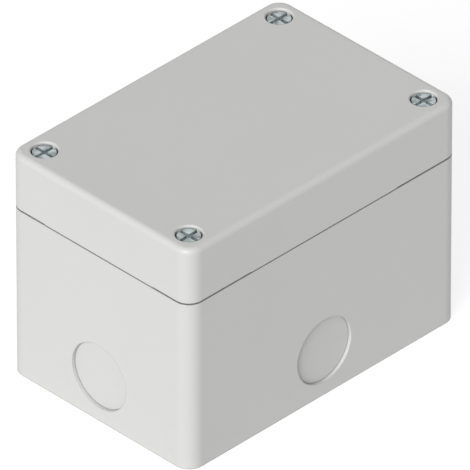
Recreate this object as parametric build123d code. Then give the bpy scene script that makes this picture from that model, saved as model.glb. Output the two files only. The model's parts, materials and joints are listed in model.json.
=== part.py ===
from build123d import *
import os

# A blank push-button enclosure: a deep moulded base and a lid, held by four captive screws.
# Millimetres, +Z up. X runs along the box, Y across it, and the origin is under its middle.

# The closed box
box_length = 120.0
box_width = 80.0
box_height = 84.0
parting_height = 63.3
parting_gap = 0.3
parting_edge_bevel = 0.2
corner_radius = 5.5
lid_edge_radius = 2.0
wall = 3.0
floor_thickness = 3.0
lid_top_thickness = 3.0
floor_fillet = 1.2
ceiling_fillet = 1.2

# Seal round the dry space: a tongue on the base presses into a foam cord in the lid
tongue_width = 1.2
tongue_height = 2.2
tongue_ledge = 0.2
seal_height = 2.0
seal_chamfer = 0.4
groove_clearance = 0.5
seal_side_clearance = 0.1
groove_lip = 1.2
groove_roof = 1.6
seal_bend_radius = 3.0

# Corner wells, outside the seal, with the screw pillars and the wall-mounting holes
partition = 2.2
screw_inset = 8.0
pillar_overlap = 0.3
mount_hole_step = 12.0
mount_hole_diameter = 4.5
mount_head_diameter = 8.0
mount_head_clearance = 0.7
well_corner_radius = 1.0

# Captive lid screws
head_diameter = 7.8
head_height = 2.6
head_chamfer = 0.3
head_sink = 0.8
head_clearance = 0.5
recess_wall = 2.0
recess_edge_bevel = 0.35
slot_width = 1.2
slot_depth = 1.3
thread_engagement = 7.5
shank_diameter = 3.0
shoulder_height = 0.6
thread_diameter = 3.9
tip_chamfer = 0.5
shank_hole_diameter = 4.3
screw_seat_thickness = 5.0

# Rings that keep the screws in the lid
ring_diameter = 6.6
ring_thickness = 1.2
ring_chamfer = 0.2
ring_running_clearance = 0.05
ring_pocket_clearance = 0.3

# Brass inserts, alike in the pillars and in the floor bosses
insert_diameter = 5.6
insert_length = 8.0
insert_waist_diameter = 5.0
insert_waist_length = 1.6
insert_sink = 0.2
insert_hole_spare = 0.5
thread_clearance = 0.1

# Floor bosses for what is fitted inside
boss_inset_x = 18.0
boss_inset_y = 22.0
boss_diameter = 9.0
boss_height = 8.0

# Knockout discs, one in the middle of each wall
knockout_diameter = 24.0
knockout_height = 17.0
knockout_depth = 1.3
knockout_score_width = 0.8
knockout_score_depth = 0.8

# Worked out from the sizes above
half_length = box_length / 2
half_width = box_width / 2
base_rim = parting_height - parting_gap / 2
lid_rim = parting_height + parting_gap / 2
ceiling = box_height - lid_top_thickness
tongue_half = tongue_width / 2
cavity_offset = -(tongue_half + tongue_ledge)
well_offset = partition + cavity_offset
seal_inset = wall + cavity_offset
groove_half = tongue_half + groove_clearance
channel_half = groove_half + groove_lip
tongue_top = base_rim + tongue_height
groove_top = tongue_top + seal_height
channel_top = groove_top + groove_roof
pillar_radius = screw_inset - wall + pillar_overlap
screw_x = half_length - screw_inset
screw_y = half_width - screw_inset
mount_x = screw_x - mount_hole_step
boss_x = half_length - boss_inset_x
boss_y = half_width - boss_inset_y
well_x = mount_x - mount_head_diameter / 2 - mount_head_clearance
well_y = screw_y - pillar_radius + pillar_overlap
notch_x = well_x - well_offset
notch_y = well_y - well_offset
recess_radius = head_diameter / 2 + head_clearance
column_radius = recess_radius + recess_wall
screw_seat = box_height - head_sink - head_height
ring_stop = screw_seat - screw_seat_thickness
ring_seat = parting_height + shoulder_height
screw_tip = parting_height - insert_sink - thread_engagement
ring_pocket_radius = ring_diameter / 2 + ring_pocket_clearance
ring_bore_radius = shank_diameter / 2 + ring_running_clearance
insert_bore_radius = thread_diameter / 2 + thread_clearance
boss_top = floor_thickness + boss_height
# Cutting tools reach this far past the face that they break through
overrun = 1.0
# Two places closer than this are the same
tolerance = 0.001

corners = {
    "front_left": (-1, -1),
    "front_right": (1, -1),
    "back_left": (-1, 1),
    "back_right": (1, 1),
}


def prism(outline, low, high):
    """An outline on the ground plane, made solid between two heights."""
    return Pos(0, 0, low) * extrude(outline, amount=high - low)


def rod(radius, low, high, x=0.0, y=0.0):
    """An upright cylinder between two heights."""
    return Pos(x, y, low) * extrude(Circle(radius), amount=high - low)


def outer_outline():
    """The box seen from above."""
    return RectangleRounded(box_length, box_width, corner_radius)


def sealed_outline(offset):
    """The line of the seal, which steps in round each corner well, moved outward by an offset."""
    far_x = half_length - seal_inset + offset
    far_y = half_width - seal_inset + offset
    near_x = notch_x + offset
    near_y = notch_y + offset
    cross = Rectangle(2 * far_x, 2 * near_y) + Rectangle(2 * near_x, 2 * far_y)
    middle_x = (far_x + near_x) / 2
    middle_y = (far_y + near_y) / 2
    inward = [v for v in cross.vertices() if abs(v.X) < middle_x and abs(v.Y) < middle_y]
    cross = fillet(inward, seal_bend_radius - offset)
    outward = [v for v in cross.vertices() if min(far_x - abs(v.X), far_y - abs(v.Y)) < tolerance]
    return fillet(outward, seal_bend_radius + offset)


def seal_band(half_width_of_band, low, high):
    """A closed band that follows the seal, between two heights."""
    band = sealed_outline(half_width_of_band) - sealed_outline(-half_width_of_band)
    return prism(band, low, high)


def dry_space(low, high, fillet_height, fillet_radius):
    """The space inside the seal, rounded where it meets the floor or the ceiling."""
    space = prism(sealed_outline(cavity_offset), low, high)
    end_face = space.faces().sort_by(lambda face: abs(face.center().Z - fillet_height))[0]
    return fillet(end_face.edges(), fillet_radius)


def corner_wells(low, high):
    """The four wells outside the seal, between the partitions and the outer walls."""
    length = half_length - wall - well_x
    width = half_width - wall - well_y
    outline = RectangleRounded(length, width, well_corner_radius)
    well = prism(outline, low, high)
    places = [(sx * (well_x + length / 2), sy * (well_y + width / 2)) for sx, sy in corners.values()]
    return [Pos(x, y, 0) * well for x, y in places]


def at_corners(x, y):
    """Four places, mirrored about both middle planes."""
    return [(sx * x, sy * y) for sx, sy in corners.values()]


def knockout_cutters():
    """Outer recess and inner score groove of the knockout disc in each wall."""
    radius = knockout_diameter / 2
    recess = extrude(Circle(radius), amount=knockout_depth + overrun)
    score_ring = Circle(radius) - Circle(radius - knockout_score_width)
    score = extrude(score_ring, amount=knockout_score_depth + overrun)
    cutters = []
    for reach, turn in ((half_length, 0), (half_width, 90), (half_length, 180), (half_width, 270)):
        outward = Rot(0, 0, turn) * Pos(reach - knockout_depth, 0, knockout_height) * Rot(0, 90, 0)
        inward = Rot(0, 0, turn) * Pos(reach - wall + knockout_score_depth, 0, knockout_height)
        cutters.append(outward * recess)
        cutters.append(inward * Rot(0, -90, 0) * score)
    return cutters


def make_base():
    """Deep moulding with the dry space, corner wells, pillars, floor bosses and knockouts."""
    base = prism(outer_outline(), 0, base_rim)
    rim_face = base.faces().sort_by(Axis.Z)[-1]
    base = chamfer(rim_face.edges(), parting_edge_bevel)
    base -= dry_space(floor_thickness, base_rim + overrun, floor_thickness, floor_fillet)
    for well in corner_wells(floor_thickness, base_rim + overrun):
        base -= well
    for x, y in at_corners(screw_x, screw_y):
        base += rod(pillar_radius, floor_thickness, parting_height, x, y)
    for x, y in at_corners(boss_x, boss_y):
        base += rod(boss_diameter / 2, floor_thickness, boss_top, x, y)
    base += seal_band(tongue_half, base_rim - overrun, tongue_top)
    hole_depth = insert_sink + insert_length + insert_hole_spare
    for x, y in at_corners(screw_x, screw_y):
        base -= rod(insert_diameter / 2, parting_height - hole_depth, parting_height + overrun, x, y)
    for x, y in at_corners(boss_x, boss_y):
        base -= rod(insert_diameter / 2, boss_top - hole_depth, boss_top + overrun, x, y)
    for x, y in at_corners(mount_x, screw_y):
        base -= rod(mount_hole_diameter / 2, -overrun, floor_thickness + overrun, x, y)
    for cutter in knockout_cutters():
        base -= cutter
    return base


def make_lid():
    """Cover with a rounded top edge, the seal groove and a stepped screw column in each corner."""
    lid = prism(outer_outline(), lid_rim, box_height)
    top_face = lid.faces().sort_by(Axis.Z)[-1]
    lid = fillet(top_face.edges(), lid_edge_radius)
    rim_face = lid.faces().sort_by(Axis.Z)[0]
    lid = chamfer(rim_face.edges(), parting_edge_bevel)
    lid -= dry_space(lid_rim - overrun, ceiling, ceiling, ceiling_fillet)
    for well in corner_wells(lid_rim - overrun, ceiling):
        lid -= well
    channel = (sealed_outline(channel_half) & outer_outline()) - sealed_outline(-channel_half)
    lid += prism(channel, lid_rim, channel_top)
    for x, y in at_corners(screw_x, screw_y):
        lid += rod(column_radius, lid_rim, ceiling + lid_top_thickness / 2, x, y)
    lid -= seal_band(groove_half, lid_rim - overrun, groove_top)
    for x, y in at_corners(screw_x, screw_y):
        lid += rod(pillar_radius - pillar_overlap, parting_height, lid_rim + overrun, x, y)
        lid -= rod(recess_radius, screw_seat, box_height + overrun, x, y)
        lid -= rod(shank_hole_diameter / 2, ring_stop - overrun, screw_seat + overrun, x, y)
        lid -= rod(ring_pocket_radius, parting_height - overrun, ring_stop, x, y)
    top_face = lid.faces().sort_by(Axis.Z)[-1]
    recess_edges = [edge for wire in top_face.inner_wires() for edge in wire.edges()]
    return chamfer(recess_edges, recess_edge_bevel)


def make_seal():
    """Foam cord in the lid's groove, its lower edges broken where the tongue presses into it."""
    seal = seal_band(groove_half - seal_side_clearance, tongue_top, groove_top)
    lower_face = seal.faces().sort_by(Axis.Z)[0]
    return chamfer(lower_face.edges(), seal_chamfer)


def make_screw(x, y):
    """Captive screw: cross-slotted head, thin shank and a threaded end with a chamfered tip."""
    head_top = screw_seat + head_height
    head = rod(head_diameter / 2, screw_seat, head_top)
    head = chamfer(head.edges().group_by(Axis.Z)[-1], head_chamfer)
    for turn in (0, 90):
        slot = Box(head_diameter + overrun, slot_width, 2 * slot_depth)
        head -= Pos(0, 0, head_top) * Rot(0, 0, turn) * slot
    thread = rod(thread_diameter / 2, screw_tip, ring_seat)
    thread = chamfer(thread.edges().group_by(Axis.Z)[0], tip_chamfer)
    shank = rod(shank_diameter / 2, ring_seat - overrun, head_top - slot_depth)
    return Pos(x, y, 0) * (head + shank + thread)


def make_ring(x, y):
    """Nylon ring on the thin shank, resting on the thread's shoulder."""
    ring = rod(ring_diameter / 2, ring_seat, ring_seat + ring_thickness)
    ring = chamfer(ring.edges(), ring_chamfer)
    ring -= rod(ring_bore_radius, ring_seat - overrun, ring_seat + ring_thickness + overrun)
    return Pos(x, y, 0) * ring


def make_insert(x, y, mouth):
    """Brass insert pressed in below a mouth height: two gripping bands, a waist and a threaded bore."""
    top = mouth - insert_sink
    middle = top - insert_length / 2
    insert = rod(insert_diameter / 2, top - insert_length, top)
    waist = rod(insert_diameter / 2, middle - insert_waist_length / 2, middle + insert_waist_length / 2)
    waist -= rod(insert_waist_diameter / 2, middle - insert_length / 2, middle + insert_length / 2)
    insert -= waist
    insert -= rod(insert_bore_radius, top - insert_length - overrun, top + overrun)
    return Pos(x, y, 0) * insert


pieces = {
    "base": make_base(),
    "lid": make_lid(),
    "lid_seal": make_seal(),
}
for corner, (side_x, side_y) in corners.items():
    pieces[f"lid_screw_{corner}"] = make_screw(side_x * screw_x, side_y * screw_y)
    pieces[f"screw_ring_{corner}"] = make_ring(side_x * screw_x, side_y * screw_y)
    pieces[f"pillar_insert_{corner}"] = make_insert(side_x * screw_x, side_y * screw_y, parting_height)
    pieces[f"floor_insert_{corner}"] = make_insert(side_x * boss_x, side_y * boss_y, boss_top)

os.makedirs("parts", exist_ok=True)
for node, piece in pieces.items():
    export_step(piece, f"parts/{node}.step")
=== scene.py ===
# Finishes of a blank push-button enclosure, with its screws and brass inserts modelled in full.
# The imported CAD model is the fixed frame. Lengths are in metres and +Z is up, as in the frame.
# Only the shaping tools work in millimetres.
import json
import math

import bmesh
import bpy
from bpy.props import FloatProperty, FloatVectorProperty, IntProperty, PointerProperty
from mathutils import Matrix, Vector

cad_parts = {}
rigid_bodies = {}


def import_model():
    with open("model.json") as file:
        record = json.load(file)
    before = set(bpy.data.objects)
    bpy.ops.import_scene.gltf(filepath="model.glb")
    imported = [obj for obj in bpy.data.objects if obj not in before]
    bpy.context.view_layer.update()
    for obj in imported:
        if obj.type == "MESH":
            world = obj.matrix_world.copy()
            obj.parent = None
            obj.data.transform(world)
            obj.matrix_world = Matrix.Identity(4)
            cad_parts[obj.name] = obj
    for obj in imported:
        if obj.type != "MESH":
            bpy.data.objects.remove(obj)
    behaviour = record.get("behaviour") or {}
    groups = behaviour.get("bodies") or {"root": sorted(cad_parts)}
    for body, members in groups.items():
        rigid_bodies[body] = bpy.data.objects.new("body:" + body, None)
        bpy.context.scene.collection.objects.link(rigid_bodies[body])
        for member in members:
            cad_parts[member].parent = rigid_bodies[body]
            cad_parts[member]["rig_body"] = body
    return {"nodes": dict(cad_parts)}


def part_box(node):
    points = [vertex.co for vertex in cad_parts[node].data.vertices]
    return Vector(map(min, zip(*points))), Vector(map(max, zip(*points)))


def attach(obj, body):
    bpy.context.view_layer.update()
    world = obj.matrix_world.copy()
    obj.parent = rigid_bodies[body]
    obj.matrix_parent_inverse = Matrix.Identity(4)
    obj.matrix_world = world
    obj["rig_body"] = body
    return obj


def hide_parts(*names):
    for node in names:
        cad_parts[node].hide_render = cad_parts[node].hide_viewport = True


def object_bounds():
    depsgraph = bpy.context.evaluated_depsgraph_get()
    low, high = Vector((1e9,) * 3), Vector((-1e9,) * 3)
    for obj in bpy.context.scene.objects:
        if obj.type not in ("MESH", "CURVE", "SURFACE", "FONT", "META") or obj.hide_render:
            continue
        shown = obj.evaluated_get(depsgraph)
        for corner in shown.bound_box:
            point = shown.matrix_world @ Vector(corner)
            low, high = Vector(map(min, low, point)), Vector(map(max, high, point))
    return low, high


bl_info = {
    "name": "Push-Button Enclosure",
    "version": (1, 0, 0),
    "blender": (4, 5, 0),
    "location": "3D View > Sidebar > Enclosure",
    "description": "Dresses a small moulded enclosure with its finishes, screws and inserts",
    "category": "Object",
}

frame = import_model()
cad_low, cad_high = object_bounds()

MM = 0.001
CORNERS = ("front_left", "front_right", "back_left", "back_right")

# The closed box, as the CAD has it
PARTING_GAP = 0.3 * MM
UPRIGHT_RADIUS = 5.5 * MM

# Marks of the mould. The pins stand in one quarter of the box and are mirrored into the others.
BASE_PINS = ((22 * MM, 28 * MM), (50 * MM, 8 * MM), (26 * MM, 7 * MM))
LID_PINS = ((22 * MM, 26 * MM), (48 * MM, 9 * MM))
MARK_FADE = 0.1 * MM

# Colour of the painted shade in narrow gaps and at the foot of walls
GAP_SHADE_COLOUR = (0.08, 0.08, 0.078)

# Facets of the turned shapes
THREAD_STEPS = 28
SHANK_SIDES = 48
HEAD_SIDES = 96
SHARP_ANGLE = math.radians(32.0)

# The stage
WHITE = (1.0, 1.0, 1.0, 1.0)
FLOOR_SIZE = 20.0
FLOOR_DROP = 0.05 * MM
FLOOR_GLOW = 1.42
FLOOR_GLOW_SHARE = 0.55
LAMP_COLOUR = (1.0, 1.0, 0.975)
LAMP_SPREAD = math.radians(36.0)
LAMP_DIRECTION = (0.82, 0.33, -0.47)
LENS_LENGTH = 1500.0
SENSOR_WIDTH = 36.0
CAMERA_AIM = (0.14 * MM, -0.14 * MM, 41.44 * MM)
CAMERA_REACH = (0.5, 60.0)


def middle_of(node):
    """Where a CAD node's upright axis stands."""
    low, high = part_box(node)
    return (low + high) / 2


screw_low, screw_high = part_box("lid_screw_front_right")
ring_low, ring_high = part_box("screw_ring_front_right")
screw_axis = middle_of("lid_screw_front_right")
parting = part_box("lid")[0].z - PARTING_GAP / 2


# Sizes and colours that a user would change


class MouldingLook(bpy.types.PropertyGroup):
    """Look of the base and the lid"""

    colour: FloatVectorProperty(
        name="Colour", description="Pale grey of the plastic", subtype="COLOR",
        default=(0.58, 0.581, 0.576), min=0.0, max=1.0)
    grain: FloatProperty(
        name="Grain", description="Size of the spark-eroded texture's bumps",
        unit="LENGTH", default=0.35 * MM)
    grain_depth: FloatProperty(
        name="Grain depth", description="Height of the texture's bumps",
        unit="LENGTH", default=0.008 * MM)
    roughness: FloatProperty(
        name="Roughness", description="How dull the plastic is",
        subtype="FACTOR", default=0.4, min=0.0, max=1.0)
    pin_width: FloatProperty(
        name="Pin marks", description="Width of the ejector-pin marks inside",
        unit="LENGTH", default=5.0 * MM)
    gate_width: FloatProperty(
        name="Gate mark", description="Width of the dish where the plastic came in",
        unit="LENGTH", default=5.0 * MM)
    edge: FloatProperty(
        name="Edge", description="Rounding of the mould's sharp edges",
        unit="LENGTH", default=0.3 * MM)
    # Painted shade: how dark the colour is made in narrow gaps and at the foot of walls, and how
    # near another face must be
    gap_shade: FloatProperty(
        name="Gap shade", description="How dark narrow gaps and the foot of walls are",
        subtype="FACTOR", default=0.76, min=0.0, max=1.0)
    gap_reach: FloatProperty(
        name="Gap reach", description="How near another face shades this one",
        unit="LENGTH", default=0.8 * MM)


class SealLook(bpy.types.PropertyGroup):
    """Look of the seal"""

    colour: FloatVectorProperty(
        name="Colour", description="Tint of the foam cord", subtype="COLOR",
        default=(0.022, 0.022, 0.024), min=0.0, max=1.0)
    cell: FloatProperty(
        name="Cell", description="Size of the foam's cells", unit="LENGTH", default=0.35 * MM)


class RingLook(bpy.types.PropertyGroup):
    """Look of the rings that keep the screws in the lid"""

    colour: FloatVectorProperty(
        name="Colour", description="Tint of the natural nylon", subtype="COLOR",
        default=(0.72, 0.7, 0.62), min=0.0, max=1.0)


class ScrewSizes(bpy.types.PropertyGroup):
    """Sizes and look of the lid screws"""

    head_width: FloatProperty(
        name="Head width", description="Across the head",
        unit="LENGTH", default=screw_high.x - screw_low.x)
    head_height: FloatProperty(
        name="Head height", description="From the seat to the top",
        unit="LENGTH", default=2.6 * MM)
    slot_width: FloatProperty(
        name="Slot width", description="Across each of the two slots",
        unit="LENGTH", default=1.2 * MM)
    slot_depth: FloatProperty(
        name="Slot depth", description="From the head's top to the slots' floor",
        unit="LENGTH", default=1.3 * MM)
    edge: FloatProperty(
        name="Edge", description="Rounding of the head's edges",
        unit="LENGTH", default=0.2 * MM)
    shank_width: FloatProperty(
        name="Shank width", description="Across the thin shank",
        unit="LENGTH", default=3.0 * MM)
    thread_width: FloatProperty(
        name="Thread width", description="Across the thread's crests",
        unit="LENGTH", default=3.9 * MM)
    pitch: FloatProperty(
        name="Pitch", description="Rise of the thread in one turn",
        unit="LENGTH", default=0.7 * MM)
    colour: FloatVectorProperty(
        name="Colour", description="Tint of the passivated steel", subtype="COLOR",
        default=(0.378, 0.422, 0.432), min=0.0, max=1.0)


class InsertSizes(bpy.types.PropertyGroup):
    """Sizes and look of the threaded inserts"""

    bore_width: FloatProperty(
        name="Bore width", description="Across the crests of the inner thread",
        unit="LENGTH", default=4.1 * MM)
    waist_width: FloatProperty(
        name="Waist width", description="Across the plain waist",
        unit="LENGTH", default=5.0 * MM)
    waist_length: FloatProperty(
        name="Waist length", description="Length of the plain waist",
        unit="LENGTH", default=1.6 * MM)
    teeth: IntProperty(
        name="Teeth", description="Knurl teeth round each gripping band",
        default=28, min=12, max=60)
    tooth_depth: FloatProperty(
        name="Tooth depth", description="Depth of the knurl", unit="LENGTH", default=0.18 * MM)
    colour: FloatVectorProperty(
        name="Colour", description="Tint of the brass", subtype="COLOR",
        default=(0.62, 0.4, 0.13), min=0.0, max=1.0)


class StageSettings(bpy.types.PropertyGroup):
    """Camera, light and floor"""

    azimuth: FloatProperty(
        name="Azimuth", description="Direction of the camera round the box",
        subtype="ANGLE", default=math.radians(-45.0))
    elevation: FloatProperty(
        name="Elevation", description="Height of the camera above the horizon",
        subtype="ANGLE", default=math.radians(35.264))
    view_width: FloatProperty(
        name="View width", description="Width that the picture shows at the box",
        unit="LENGTH", default=147.8 * MM)
    lamp: FloatProperty(
        name="Lamp", description="Strength of the broad lamp on the left",
        default=2.72, min=0.0)
    sky: FloatProperty(
        name="Sky", description="Strength of the even light from all round",
        default=0.45, min=0.0)
    floor: FloatProperty(
        name="Floor", description="Paleness of the floor",
        subtype="FACTOR", default=0.65, min=0.0, max=1.0)


# Shader maths


class Wire:
    """An output socket of a material, with the sums that are made of it."""

    def __init__(self, finish, socket):
        self.finish = finish
        self.socket = socket

    def __add__(self, other):
        return self.finish.maths("ADD", self, other)

    __radd__ = __add__

    def __sub__(self, other):
        return self.finish.maths("SUBTRACT", self, other)

    def __rsub__(self, other):
        return self.finish.maths("SUBTRACT", other, self)

    def __mul__(self, other):
        return self.finish.maths("MULTIPLY", self, other)

    __rmul__ = __mul__

    def __pow__(self, other):
        return self.finish.maths("POWER", self, other)

    def __abs__(self):
        return self.finish.maths("ABSOLUTE", self)

    def output(self, name):
        """Another output of the same node."""
        return Wire(self.finish, self.socket.node.outputs[name])


class Finish:
    """The nodes of a new material, or of the world."""

    def __init__(self, owner):
        owner.use_nodes = True
        self.owner = owner
        self.tree = owner.node_tree
        self.tree.nodes.clear()

    def node(self, kind, settings=None, sockets=None, output=0):
        """Adds a node, makes its settings, then gives its sockets their values or links."""
        node = self.tree.nodes.new(kind)
        for name, value in (settings or {}).items():
            setattr(node, name, value)
        for name, value in (sockets or {}).items():
            socket = self.socket_of(node, name)
            if isinstance(value, Wire):
                self.tree.links.new(value.socket, socket)
            else:
                socket.default_value = value
        if not node.outputs:
            return node
        return Wire(self, node.outputs[output])

    def socket_of(self, node, name):
        """An input by its number, its identifier or its name."""
        if isinstance(name, int):
            return node.inputs[name]
        for socket in node.inputs:
            if socket.identifier == name:
                return socket
        return node.inputs[name]

    def maths(self, operation, *values):
        """One Math node."""
        return self.node("ShaderNodeMath", {"operation": operation}, dict(enumerate(values)))

    def vectors(self, operation, *values):
        """One Vector Math node."""
        return self.node("ShaderNodeVectorMath", {"operation": operation}, dict(enumerate(values)))

    def place(self):
        """A point's place in the frame."""
        return self.node("ShaderNodeTexCoord").output("Object")

    def mirrored(self, axis):
        """A point's place from the nearest of four mirrored upright axes."""
        folded = self.vectors("ABSOLUTE", self.place())
        return self.vectors("SUBTRACT", folded, (abs(axis.x), abs(axis.y), 0.0))

    def parts_of(self, place):
        """The three parts of a place."""
        x = self.node("ShaderNodeSeparateXYZ", {}, {"Vector": place})
        return x, x.output("Y"), x.output("Z")

    def from_axis(self, x, y):
        """How far a level place is from the upright axis that it is measured from."""
        return (x ** 2.0 + y ** 2.0) ** 0.5

    def depth_inside(self, x, y):
        """How far a point stands in from the walls of the closed box."""
        past_x = self.maths("MAXIMUM", abs(x) - (cad_high.x - UPRIGHT_RADIUS), 0.0)
        past_y = self.maths("MAXIMUM", abs(y) - (cad_high.y - UPRIGHT_RADIUS), 0.0)
        return UPRIGHT_RADIUS - self.from_axis(past_x, past_y)

    def openness(self, reach):
        """1 in the open, and less in narrow gaps and at the foot of walls, within a reach."""
        occlusion = self.node("ShaderNodeAmbientOcclusion", {"samples": 8}, {"Distance": reach})
        return occlusion.output("AO")

    def step(self, value, low, high):
        """Goes smoothly from 0 at low to 1 at high, either way round."""
        return self.node(
            "ShaderNodeMapRange", {"interpolation_type": "SMOOTHSTEP", "clamp": True},
            {"Value": value, "From Min": low, "From Max": high, "To Min": 0.0, "To Max": 1.0})

    def between(self, value, low, high, fade):
        """1 between two values, with a short fade inside each."""
        return self.step(value, low, low + fade) * self.step(value, high, high - fade)

    def noise(self, place, size, detail=2.0, seed=0.0):
        """Soft cloudy noise from 0 to 1, with lumps of about this size."""
        moved = self.vectors("ADD", place, (seed, seed * 0.7, seed * 1.3))
        return self.node(
            "ShaderNodeTexNoise", {"noise_dimensions": "3D"},
            {"Vector": moved, "Scale": 0.5 / size, "Detail": detail, "Roughness": 0.55})

    def grooves(self, value, pitch):
        """Even waves from -1 to 1 along a length, as a turning tool leaves."""
        return self.maths("SINE", value * (2 * math.pi / pitch))

    def mix(self, factor, one, other):
        """From one colour to another."""
        shades = {}
        for name, colour in (("A_Color", one), ("B_Color", other)):
            shades[name] = colour if isinstance(colour, Wire) else (*colour, 1.0)
        colour_result = 2
        return self.node(
            "ShaderNodeMix", {"data_type": "RGBA"}, {"Factor_Float": factor, **shades},
            colour_result)

    def softened(self, radius):
        """The normal with its sharp edges a little rounded."""
        return self.node("ShaderNodeBevel", {"samples": 4}, {"Radius": radius})

    def bump(self, height, over=None):
        """A normal from a height in metres, over the surface's own normal or another."""
        sockets = {"Height": height, "Distance": 1.0, "Strength": 1.0}
        if over is not None:
            sockets["Normal"] = over
        return self.node("ShaderNodeBump", {}, sockets)

    def surface(self, **sockets):
        """Ends a material in one Principled shader. Names have underscores for their spaces."""
        named = {name.replace("_", " "): value for name, value in sockets.items()}
        shader = self.node("ShaderNodeBsdfPrincipled", {}, named)
        self.node("ShaderNodeOutputMaterial", {}, {"Surface": shader})
        return self.owner


def shaded(colour, amount):
    """A colour made lighter or darker."""
    return tuple(part * amount for part in colour)


# Finishes, one for each material


def moulding_finish(name, look, pins, pin_heights, gate_heights):
    """Grey plastic from a spark-eroded mould, with the marks of its ejector pins and its gate."""
    finish = Finish(bpy.data.materials.new(name))
    place = finish.place()
    x, y, z = finish.parts_of(place)
    grain = finish.noise(place, look.grain, detail=3.0)
    speckle = finish.noise(place, look.grain * 0.4, detail=1.0, seed=0.31)
    cloud = finish.noise(place, 22 * MM, seed=0.17)
    upright_streaks = finish.vectors("MULTIPLY", place, (1.0, 1.0, 0.3))
    handling = finish.noise(upright_streaks, 6 * MM, detail=3.0, seed=0.53)
    pressed = pin_marks(finish, look, x, y, pins) * finish.between(z, *pin_heights, MARK_FADE)
    dish, nub = gate_marks(finish, look, x, y)
    at_gate = finish.between(z, *gate_heights, MARK_FADE)

    colour = finish.mix(cloud, shaded(look.colour, 0.985), shaded(look.colour, 1.012))
    colour = finish.mix(
        finish.step(speckle, 0.62, 0.8) * 0.35, colour, shaded(look.colour, 0.93))
    colour = finish.mix(pressed * 0.25, colour, shaded(look.colour, 0.9))
    # Painted shade: the colour goes dark in narrow gaps and at the foot of walls, where another
    # face is near
    colour = finish.mix(gap_shade(finish, look, x, y, z), colour, GAP_SHADE_COLOUR)
    roughness = look.roughness + (grain - 0.5) * 0.08 + (handling - 0.5) * 0.1 - pressed * 0.12
    height = (grain - 0.5) * look.grain_depth * (1.0 - pressed * 0.8)
    height = height - pressed * 0.03 * MM
    height = height - at_gate * dish * 0.25 * MM + at_gate * nub * 0.2 * MM
    return finish.surface(
        Base_Color=colour, Roughness=roughness, IOR=1.47,
        Normal=finish.bump(height, finish.softened(look.edge)))


def pin_marks(finish, look, x, y, pins):
    """1 on the round marks that the ejector pins press into a level face."""
    edge = look.pin_width / 2
    marks = 0.0
    for pin_x, pin_y in pins:
        from_pin = finish.from_axis(abs(x) - pin_x, abs(y) - pin_y)
        marks = finish.step(from_pin, edge + 0.12 * MM, edge) + marks
    return marks


def gate_marks(finish, look, x, y):
    """The shallow dish where the plastic came in, and the nub that it left there."""
    from_gate = finish.from_axis(x, y)
    edge = look.gate_width / 2
    dish = finish.step(from_gate, edge, edge - 0.6 * MM)
    nub = finish.step(from_gate, 0.7 * MM, 0.5 * MM)
    return dish, nub


def gap_shade(finish, look, x, y, z):
    """Painted shade: how much the colour is darkened at the foot of walls and in the gap between
    base and lid.

    It follows how near another face is, so the rims carry no painted shade when the lid is up.
    """
    openness = finish.openness(look.gap_reach)
    foot = finish.step(openness, 0.8, 0.35)
    joint_shade = finish.step(abs(z - parting), 0.42 * MM, 0.28 * MM)
    joint_shade = joint_shade * finish.step(openness, 0.98, 0.85)
    joint_shade = joint_shade * finish.step(finish.depth_inside(x, y), 0.7 * MM, 0.4 * MM)
    return finish.maths("MAXIMUM", foot, joint_shade) * look.gap_shade


def foam_finish(name, look):
    """Closed-cell foam cord: a dull skin with the cells showing through, darkened in the open
    cells as painted shade.
    """
    finish = Finish(bpy.data.materials.new(name))
    place = finish.place()
    cells = finish.node(
        "ShaderNodeTexVoronoi", {"feature": "F1"}, {"Vector": place, "Scale": 1.0 / look.cell})
    burst = finish.step(finish.noise(place, 1.4 * MM, seed=0.2), 0.45, 0.65)
    pore = finish.step(cells, 0.45, 0.1)
    # Painted shade: the open cells are made much darker
    tint = finish.mix(pore * burst, look.colour, shaded(look.colour, 0.35))
    tint = finish.mix(finish.noise(place, 5 * MM) * 0.5, tint, shaded(look.colour, 1.8))
    height = cells * -0.03 * MM - pore * burst * 0.06 * MM
    return finish.surface(
        Base_Color=tint, Roughness=0.82 - pore * 0.1, Normal=finish.bump(height))


def nylon_finish(name, colour):
    """Natural nylon, waxy, with a faint parting line round its middle."""
    finish = Finish(bpy.data.materials.new(name))
    place = finish.place()
    z = finish.parts_of(place)[2]
    cloud = finish.noise(place, 1.5 * MM)
    skin = finish.noise(place, 0.2 * MM, seed=0.7)
    half = (ring_low.z + ring_high.z) / 2
    line = finish.step(abs(z - half), 0.06 * MM, 0.0)
    tint = finish.mix(cloud, shaded(colour, 0.93), shaded(colour, 1.05))
    height = (skin - 0.5) * 0.004 * MM + line * 0.02 * MM
    return finish.surface(
        Base_Color=tint, Roughness=0.36 + skin * 0.12, Normal=finish.bump(height),
        Subsurface_Weight=0.25, Subsurface_Scale=0.6 * MM)


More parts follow.
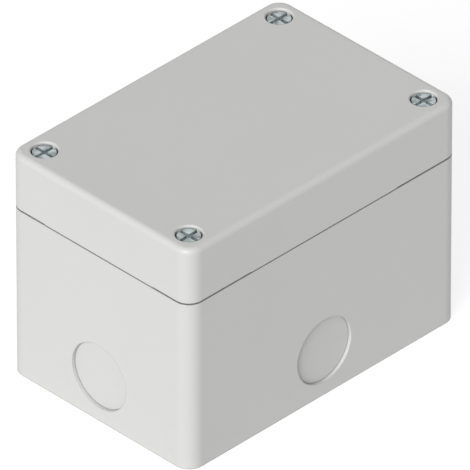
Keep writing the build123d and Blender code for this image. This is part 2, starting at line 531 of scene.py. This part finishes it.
def steel_finish(name, colour):
    """Passivated steel with turning rings, a thin, uneven blue passivation, and painted glints and
    reflections in its patches.
    """
    finish = Finish(bpy.data.materials.new(name))
    x, y, z = finish.parts_of(finish.mirrored(screw_axis))
    place = finish.place()
    wobble = finish.noise(place, 1.2 * MM)
    rings = finish.grooves(finish.from_axis(x, y) + wobble * 0.05 * MM, 0.16 * MM)
    film_and_glints = finish.noise(place, 1.5 * MM, detail=3.0, seed=0.4)
    pits = finish.noise(place, 0.25 * MM, seed=0.9)
    on_head = finish.step(z, screw_high.z - 1.6 * MM, screw_high.z - 0.2 * MM)
    worn = finish.step(pits, 0.6, 0.75) * on_head
    # The patches swing the tint from much darker to much lighter: partly an uneven passivation,
    # partly painted glints and reflections
    tint = finish.mix(finish.step(film_and_glints, 0.36, 0.64), shaded(colour, 0.66), shaded(colour, 1.44))
    tint = finish.mix(worn * 0.4, tint, shaded(colour, 1.9))
    roughness = 0.38 + (film_and_glints - 0.5) * 0.16 + worn * 0.12
    height = rings * 0.0012 * MM * on_head + (pits - 0.5) * 0.006 * MM
    return finish.surface(
        Base_Color=tint, Metallic=0.7, Roughness=roughness, Normal=finish.bump(height))


def brass_finish(name, colour):
    """Turned brass, darker and lighter in soft patches, and dulled here and there."""
    finish = Finish(bpy.data.materials.new(name))
    place = finish.place()
    z = finish.parts_of(place)[2]
    dull = finish.noise(place, 1.6 * MM, detail=3.0)
    tool = finish.grooves(z, 0.12 * MM)
    tint = finish.mix(dull, shaded(colour, 0.72), shaded(colour, 1.15))
    height = tool * 0.0008 * MM + dull * 0.01 * MM
    return finish.surface(
        Base_Color=tint, Metallic=1.0, Roughness=0.24 + dull * 0.2, Normal=finish.bump(height))


# Shaping tools. They work in millimetres round an upright axis at the origin.


def is_level(edge, height):
    """Whether an edge lies level at a height."""
    return all(abs(corner.co.z - height) < 1e-4 for corner in edge.verts)


def edges_at(bm, height):
    """Open edges that lie level at a height."""
    return [edge for edge in bm.edges if len(edge.link_faces) < 2 and is_level(edge, height)]


def everything(bm):
    """All that a bmesh holds, as its operators want it."""
    return bm.verts[:] + bm.edges[:] + bm.faces[:]


def raise_faces(bm, faces, height, scale=1.0):
    """Extrudes faces straight up or down, clears the old ones and returns the new end faces."""
    made = bmesh.ops.extrude_face_region(bm, geom=faces)["geom"]
    bmesh.ops.delete(bm, geom=faces, context="FACES")
    corners = [part for part in made if isinstance(part, bmesh.types.BMVert)]
    bmesh.ops.translate(bm, verts=corners, vec=(0.0, 0.0, height))
    bmesh.ops.scale(bm, verts=corners, vec=(scale, scale, 1.0))
    return [part for part in made if isinstance(part, bmesh.types.BMFace)]


def raise_edges(bm, edges, height, scale=1.0, turn=0.0):
    """Extrudes a ring of edges, scales and turns it round the axis, and returns the new ring."""
    made = bmesh.ops.extrude_edge_only(bm, edges=edges)["geom"]
    corners = [part for part in made if isinstance(part, bmesh.types.BMVert)]
    bmesh.ops.translate(bm, verts=corners, vec=(0.0, 0.0, height))
    bmesh.ops.scale(bm, verts=corners, vec=(scale, scale, 1.0))
    turned = Matrix.Rotation(turn, 3, "Z")
    bmesh.ops.rotate(bm, verts=corners, cent=(0.0, 0.0, 0.0), matrix=turned)
    return [part for part in made if isinstance(part, bmesh.types.BMEdge)]


def ring_of_edges(bm, radius, height, sides):
    """A plain ring to extrude from."""
    made = bmesh.ops.create_circle(
        bm, cap_ends=False, segments=sides, radius=radius,
        matrix=Matrix.Translation((0.0, 0.0, height)))
    return list({edge for corner in made["verts"] for edge in corner.link_edges})


def close_end(bm, edges):
    """Fills a ring of open edges, or the space between two."""
    bmesh.ops.triangle_fill(bm, use_beauty=True, edges=edges)


def cut_level(bm, height, keep_below):
    """Cuts a shape level at a height and clears one side."""
    bmesh.ops.bisect_plane(
        bm, geom=everything(bm), dist=1e-5, plane_co=(0.0, 0.0, height),
        plane_no=(0.0, 0.0, 1.0), clear_outer=keep_below, clear_inner=not keep_below)


def make_thread(low, high, crest, root, pitch):
    """A right-hand thread between two heights, open at both ends: one groove and ridge, spun."""
    root_end, crest_start, crest_end = 0.25, 0.56, 0.69
    profile = (
        (root, 0.0), (root, root_end), (crest, crest_start), (crest, crest_end), (root, 1.0))
    thread = bmesh.new()
    start = low - pitch
    corners = []
    for radius, along in profile:
        corners.append(thread.verts.new((radius, 0.0, start + along * pitch)))
    for lower, upper in zip(corners, corners[1:]):
        thread.edges.new((lower, upper))
    turns = math.ceil((high - low) / pitch) + 1
    bmesh.ops.spin(
        thread, geom=everything(thread), cent=(0.0, 0.0, 0.0), axis=(0.0, 0.0, 1.0),
        dvec=(0.0, 0.0, pitch / THREAD_STEPS), angle=2 * math.pi * turns,
        steps=THREAD_STEPS * turns, use_merge=False, use_duplicate=False)
    bmesh.ops.remove_doubles(thread, verts=thread.verts[:], dist=0.002)
    cut_level(thread, high, keep_below=True)
    cut_level(thread, low, keep_below=False)
    return thread


def add_mesh(bm, other):
    """Adds another bmesh to this one and lets it go."""
    carrier = bpy.data.meshes.new("carrier")
    other.to_mesh(carrier)
    other.free()
    bm.from_mesh(carrier)
    bpy.data.meshes.remove(carrier)


def check_closed(bm):
    """Turns a shape's faces outward, and stops the script where it is open."""
    bmesh.ops.recalc_face_normals(bm, faces=bm.faces[:])
    loose = [edge for edge in bm.edges if len(edge.link_faces) != 2]
    if loose:
        raise RuntimeError(f"the shape is open along {len(loose)} edges")


# Placing and dressing


def set_down(bm, name, node, material):
    """Puts a finished shape in the frame, in metres, where it stands for a CAD node."""
    shape = bm.copy()
    axis = middle_of(node)
    place = Matrix.Translation((axis.x, axis.y, 0.0)) @ Matrix.Scale(MM, 4)
    bmesh.ops.transform(shape, matrix=place, verts=shape.verts[:])
    mesh = bpy.data.meshes.new(name)
    shape.to_mesh(mesh)
    shape.free()
    mesh.shade_smooth()
    mesh.set_sharp_from_angle(angle=SHARP_ANGLE)
    mesh.materials.append(material)
    piece = bpy.data.objects.new(name, mesh)
    bpy.context.scene.collection.objects.link(piece)
    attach(piece, frame["nodes"][node]["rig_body"])
    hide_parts(node)


def dress(node, material):
    """Gives a CAD node its finish."""
    part = frame["nodes"][node]
    part.data.materials.clear()
    part.data.materials.append(material)


# Operators, one for each group of like pieces


class ENCLOSURE_OT_mouldings(bpy.types.Operator):
    """Finish the base and the lid as spark-eroded plastic mouldings"""

    bl_idname = "enclosure.mouldings"
    bl_label = "Mouldings"

    def execute(self, context):
        look = context.scene.enclosure_moulding
        # Heights between which each marked face lies
        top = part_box("lid")[1].z
        underside = (-1 * MM, 1.5 * MM)
        floor = (2.5 * MM, 3.6 * MM)
        ceiling = (top - 3.6 * MM, top - 2.5 * MM)
        dress("base", moulding_finish("base plastic", look, BASE_PINS, floor, underside))
        dress("lid", moulding_finish("lid plastic", look, LID_PINS, ceiling, ceiling))
        return {"FINISHED"}


class ENCLOSURE_OT_seal(bpy.types.Operator):
    """Finish the seal as a dark foam cord"""

    bl_idname = "enclosure.seal"
    bl_label = "Seal"

    def execute(self, context):
        dress("lid_seal", foam_finish("seal foam", context.scene.enclosure_seal))
        return {"FINISHED"}


class ENCLOSURE_OT_rings(bpy.types.Operator):
    """Finish the rings that keep the screws in the lid"""

    bl_idname = "enclosure.rings"
    bl_label = "Captive rings"

    def execute(self, context):
        nylon = nylon_finish("natural nylon", context.scene.enclosure_ring.colour)
        for corner in CORNERS:
            dress(f"screw_ring_{corner}", nylon)
        return {"FINISHED"}


class ENCLOSURE_OT_screws(bpy.types.Operator):
    """Model the four captive screws with their cross slots and threads"""

    bl_idname = "enclosure.screws"
    bl_label = "Lid screws"

    def execute(self, context):
        sizes = context.scene.enclosure_screw
        shape = self.shape(sizes)
        steel = steel_finish("passivated steel", sizes.colour)
        for corner in CORNERS:
            node = f"lid_screw_{corner}"
            set_down(shape, f"screw_{corner}", node, steel)
        shape.free()
        return {"FINISHED"}

    def shape(self, sizes):
        """One screw: head, shank and thread as a single closed skin."""
        seat = (screw_high.z - sizes.head_height) / MM
        shoulder = ring_low.z / MM
        bm = bmesh.new()
        self.make_head(bm, sizes, seat)
        neck = ring_of_edges(bm, sizes.shank_width / MM / 2, seat, SHANK_SIDES)
        close_end(bm, edges_at(bm, seat))
        raise_edges(bm, neck, shoulder - seat)
        self.make_end(bm, sizes, shoulder)
        check_closed(bm)
        return bm

    def make_head(self, bm, sizes, seat):
        """The cross-slotted head, open underneath for the shank."""
        top = screw_high.z / MM
        slot_floor = top - sizes.slot_depth / MM
        half_slot = sizes.slot_width / MM / 2
        dip, dip_share = 0.55, 0.5
        bmesh.ops.create_circle(
            bm, cap_ends=True, segments=HEAD_SIDES, radius=sizes.head_width / MM / 2,
            matrix=Matrix.Translation((0.0, 0.0, seat)))
        for side in (-half_slot, half_slot):
            for across in (Vector((1.0, 0.0, 0.0)), Vector((0.0, 1.0, 0.0))):
                bmesh.ops.bisect_plane(
                    bm, geom=everything(bm), dist=1e-5, plane_co=across * side, plane_no=across)
        quarters = []
        for face in raise_faces(bm, bm.faces[:], slot_floor - seat):
            middle = face.calc_center_median()
            if min(abs(middle.x), abs(middle.y)) > half_slot:
                quarters.append(face)
            elif max(abs(middle.x), abs(middle.y)) < half_slot:
                crossing = face
        raise_faces(bm, quarters, top - slot_floor)
        raise_faces(bm, [crossing], -dip, dip_share)
        rim = [edge for edge in bm.edges if is_level(edge, top)]
        bmesh.ops.bevel(
            bm, geom=rim, offset=sizes.edge / MM, offset_type="OFFSET", segments=3,
            profile=0.5, affect="EDGES", clamp_overlap=True, material=-1)

    def make_end(self, bm, sizes, shoulder):
        """The threaded end under the shank, down to its blunt tip."""
        pitch = sizes.pitch / MM
        crest = sizes.thread_width / MM / 2
        root = crest - 0.54 * pitch
        blunt, blunt_share = 0.5, 0.76
        thread_low = screw_low.z / MM + blunt
        add_mesh(bm, make_thread(thread_low, shoulder, crest, root, pitch))
        close_end(bm, edges_at(bm, shoulder))
        close_end(bm, raise_edges(bm, edges_at(bm, thread_low), -blunt, blunt_share))


class ENCLOSURE_OT_inserts(bpy.types.Operator):
    """Model the eight knurled brass inserts with their inner threads"""

    bl_idname = "enclosure.inserts"
    bl_label = "Threaded inserts"

    def execute(self, context):
        sizes = context.scene.enclosure_insert
        pitch = context.scene.enclosure_screw.pitch / MM
        brass = brass_finish("turned brass", sizes.colour)
        for group in ("pillar", "floor"):
            low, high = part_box(f"{group}_insert_front_right")
            shape = self.shape(sizes, low / MM, high / MM, pitch)
            for corner in CORNERS:
                node = f"{group}_insert_{corner}"
                set_down(shape, f"brass_{group}_{corner}", node, brass)
            shape.free()
        return {"FINISHED"}

    def shape(self, sizes, low, high, pitch):
        """One insert: two bands with slanting teeth, a waist, and a threaded bore."""
        outer = (high.x - low.x) / 2
        waist = sizes.waist_width / MM / 2
        waist_length = sizes.waist_length / MM
        lead = 0.3
        band = (high.z - low.z - waist_length) / 2 - lead
        bm = bmesh.new()
        ring = ring_of_edges(bm, outer - lead, low.z, 2 * sizes.teeth)
        ring = raise_edges(bm, ring, lead, outer / (outer - lead))
        ring = self.knurl(bm, ring, sizes, outer, band, 1)
        ring = raise_edges(bm, ring, 0.0)
        self.even_out(bm, ring, waist)
        ring = raise_edges(bm, ring, waist_length)
        ring = raise_edges(bm, ring, 0.0, outer / waist)
        ring = self.knurl(bm, ring, sizes, outer, band, -1)
        ring = raise_edges(bm, ring, lead)
        self.even_out(bm, ring, outer - lead)
        crest = sizes.bore_width / MM / 2
        groove = 0.3
        add_mesh(bm, make_thread(low.z, high.z, crest, crest + groove, pitch))
        close_end(bm, edges_at(bm, low.z))
        close_end(bm, edges_at(bm, high.z))
        check_closed(bm)
        return bm

    def corners_of(self, ring):
        """A ring's corners, in their order round the axis from just before the X axis."""
        corners = {corner for edge in ring for corner in edge.verts}
        before = 0.01

        def angle(corner):
            return (math.atan2(corner.co.y, corner.co.x) + before) % (2 * math.pi)

        return sorted(corners, key=angle)

    def knurl(self, bm, ring, sizes, radius, length, way):
        """A band of teeth, which slant because its upper ring is turned by one tooth."""
        share = 1 - sizes.tooth_depth / MM / radius
        bmesh.ops.scale(bm, verts=self.corners_of(ring)[::2], vec=(share, share, 1.0))
        return raise_edges(bm, ring, length, turn=way * 2 * math.pi / sizes.teeth)

    def even_out(self, bm, ring, radius):
        """Brings each corner of a ring to one radius."""
        for corner in self.corners_of(ring):
            share = radius / math.hypot(corner.co.x, corner.co.y)
            bmesh.ops.scale(bm, verts=[corner], vec=(share, share, 1.0))


class ENCLOSURE_OT_stage(bpy.types.Operator):
    """Lay the pale floor, and set the camera and the soft light"""

    bl_idname = "enclosure.stage"
    bl_label = "Floor, light and camera"

    def execute(self, context):
        settings = context.scene.enclosure_stage
        self.lay_floor(context, settings)
        self.light(context, settings)
        self.set_camera(context, settings)
        context.scene.view_settings.view_transform = "Standard"
        return {"FINISHED"}

    def lay_floor(self, context, settings):
        """A wide floor that is seen white, takes the object's shadow and is clear from below."""
        bm = bmesh.new()
        bmesh.ops.create_grid(
            bm, x_segments=1, y_segments=1, size=FLOOR_SIZE,
            matrix=Matrix.Translation((0.0, 0.0, -FLOOR_DROP)))
        mesh = bpy.data.meshes.new("floor")
        bm.to_mesh(mesh)
        bm.free()
        mesh.materials.append(self.floor_finish(settings))
        floor = bpy.data.objects.new("floor", mesh)
        context.scene.collection.objects.link(floor)

    def floor_finish(self, settings):
        """Matt and pale, with a white glow that only the eye sees."""
        finish = Finish(bpy.data.materials.new("pale floor"))
        grain = finish.noise(finish.place(), 3 * MM, detail=3.0)
        shade = (settings.floor,) * 3
        colour = finish.mix(grain, shaded(shade, 0.995), shade)
        matt = finish.node("ShaderNodeBsdfDiffuse", {}, {"Color": colour})
        glow = finish.node("ShaderNodeEmission", {}, {"Color": WHITE, "Strength": FLOOR_GLOW})
        glowing = self.seen_by_eye(finish) * FLOOR_GLOW_SHARE
        upper = finish.node("ShaderNodeMixShader", {}, {0: glowing, 1: matt, 2: glow})
        clear = finish.node("ShaderNodeBsdfTransparent")
        below = finish.node("ShaderNodeNewGeometry").output("Backfacing")
        below = below * finish.node("ShaderNodeLightPath").output("Is Camera Ray")
        whole = finish.node("ShaderNodeMixShader", {}, {0: below, 1: upper, 2: clear})
        finish.node("ShaderNodeOutputMaterial", {}, {"Surface": whole})
        return finish.owner

    def seen_by_eye(self, finish):
        """1 for what the camera sees, straight or by way of metal or glass."""
        path = finish.node("ShaderNodeLightPath")
        straight = path.output("Is Camera Ray")
        mirrored = finish.maths("MAXIMUM", straight, path.output("Is Glossy Ray"))
        return finish.maths("MAXIMUM", mirrored, path.output("Is Transmission Ray"))

    def light(self, context, settings):
        """An even sky, white to the eye, and one broad lamp on the left."""
        world = bpy.data.worlds.new("studio")
        context.scene.world = world
        finish = Finish(world)
        strength = self.seen_by_eye(finish) * (1.0 - settings.sky) + settings.sky
        sky = finish.node("ShaderNodeBackground", {}, {"Color": WHITE, "Strength": strength})
        finish.node("ShaderNodeOutputWorld", {}, {"Surface": sky})
        lamp = bpy.data.lights.new("lamp", "SUN")
        lamp.energy = settings.lamp
        lamp.color = LAMP_COLOUR
        lamp.angle = LAMP_SPREAD
        stand = bpy.data.objects.new("lamp", lamp)
        stand.rotation_mode = "QUATERNION"
        stand.rotation_quaternion = Vector(LAMP_DIRECTION).to_track_quat("-Z", "Y")
        context.scene.collection.objects.link(stand)

    def set_camera(self, context, settings):
        """A very long lens, which shows the box almost without perspective."""
        lens = bpy.data.cameras.new("camera")
        lens.sensor_width = SENSOR_WIDTH
        lens.lens = LENS_LENGTH
        lens.clip_start, lens.clip_end = CAMERA_REACH
        distance = settings.view_width * LENS_LENGTH / SENSOR_WIDTH
        level = math.cos(settings.elevation)
        back = Vector((
            math.sin(settings.azimuth) * level,
            -math.cos(settings.azimuth) * level,
            math.sin(settings.elevation)))
        camera = bpy.data.objects.new("camera", lens)
        camera.rotation_mode = "QUATERNION"
        camera.rotation_quaternion = (-back).to_track_quat("-Z", "Y")
        camera.location = Vector(CAMERA_AIM) + back * distance
        context.scene.collection.objects.link(camera)
        context.scene.camera = camera


class ENCLOSURE_PT_panel(bpy.types.Panel):
    """The steps that dress the enclosure, with their sizes and colours"""

    bl_label = "Push-Button Enclosure"
    bl_idname = "ENCLOSURE_PT_panel"
    bl_space_type = "VIEW_3D"
    bl_region_type = "UI"
    bl_category = "Enclosure"

    def draw(self, context):
        for operator, group in STEPS:
            box = self.layout.box()
            box.operator(operator.bl_idname)
            settings = getattr(context.scene, group)
            for name in type(settings).__annotations__:
                box.prop(settings, name)


GROUPS = {
    "enclosure_moulding": MouldingLook,
    "enclosure_seal": SealLook,
    "enclosure_ring": RingLook,
    "enclosure_screw": ScrewSizes,
    "enclosure_insert": InsertSizes,
    "enclosure_stage": StageSettings,
}
STEPS = (
    (ENCLOSURE_OT_mouldings, "enclosure_moulding"),
    (ENCLOSURE_OT_seal, "enclosure_seal"),
    (ENCLOSURE_OT_rings, "enclosure_ring"),
    (ENCLOSURE_OT_screws, "enclosure_screw"),
    (ENCLOSURE_OT_inserts, "enclosure_insert"),
    (ENCLOSURE_OT_stage, "enclosure_stage"),
)


def register():
    for name, group in GROUPS.items():
        bpy.utils.register_class(group)
        setattr(bpy.types.Scene, name, PointerProperty(type=group))
    for operator, _ in STEPS:
        bpy.utils.register_class(operator)
    bpy.utils.register_class(ENCLOSURE_PT_panel)


def unregister():
    bpy.utils.unregister_class(ENCLOSURE_PT_panel)
    for operator, _ in reversed(STEPS):
        bpy.utils.unregister_class(operator)
    for name, group in reversed(GROUPS.items()):
        delattr(bpy.types.Scene, name)
        bpy.utils.unregister_class(group)


def main():
    register()
    bpy.ops.enclosure.mouldings()
    bpy.ops.enclosure.seal()
    bpy.ops.enclosure.rings()
    bpy.ops.enclosure.screws()
    bpy.ops.enclosure.inserts()
    bpy.ops.enclosure.stage()


if __name__ == "__main__":
    main()
